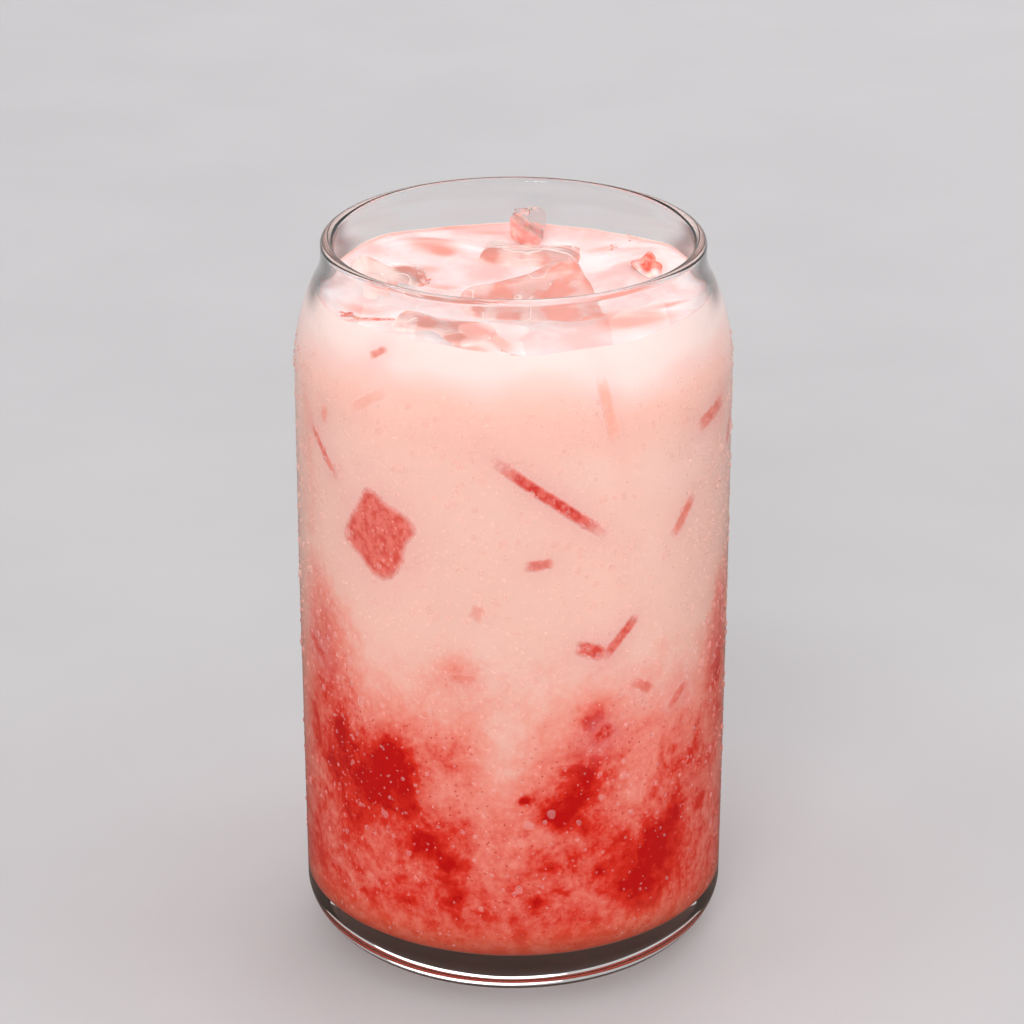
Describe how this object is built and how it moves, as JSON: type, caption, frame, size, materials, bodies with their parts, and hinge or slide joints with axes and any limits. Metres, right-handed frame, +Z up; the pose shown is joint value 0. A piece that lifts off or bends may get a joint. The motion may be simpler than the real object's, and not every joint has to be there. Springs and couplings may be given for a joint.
{
  "type": "iced strawberry smoothie in a glass",
  "caption": "Iced strawberry milk smoothie in a clear can-shaped drinking glass with a thick base, ice floating in its top.",
  "frame": {"origin": "middle of the foot ring, in the plane that the glass stands on", "axes": "+Z up along the glass's axis, -Y towards the viewer of the picture, +X to the viewer's right"},
  "size_m": [0.0782, 0.0782, 0.1342],
  "materials": {
    "glass": "clear soda-lime glass, fire-polished rim, fine droplets of condensation outside",
    "drink": "opaque pink milk, red strawberry puree in the lower third",
    "ice": "clear wet ice tinted pink by the milk",
    "berry": "wet strawberry flesh"
  },
  "bodies": {
    "root": {"glass": "glass", "drink": "drink", "ice_middle": "ice", "ice_back": "ice", "ice_left": "ice", "ice_front_left": "ice", "ice_chip": "ice", "berry_chip": "berry"}
  },
  "joints": []
}
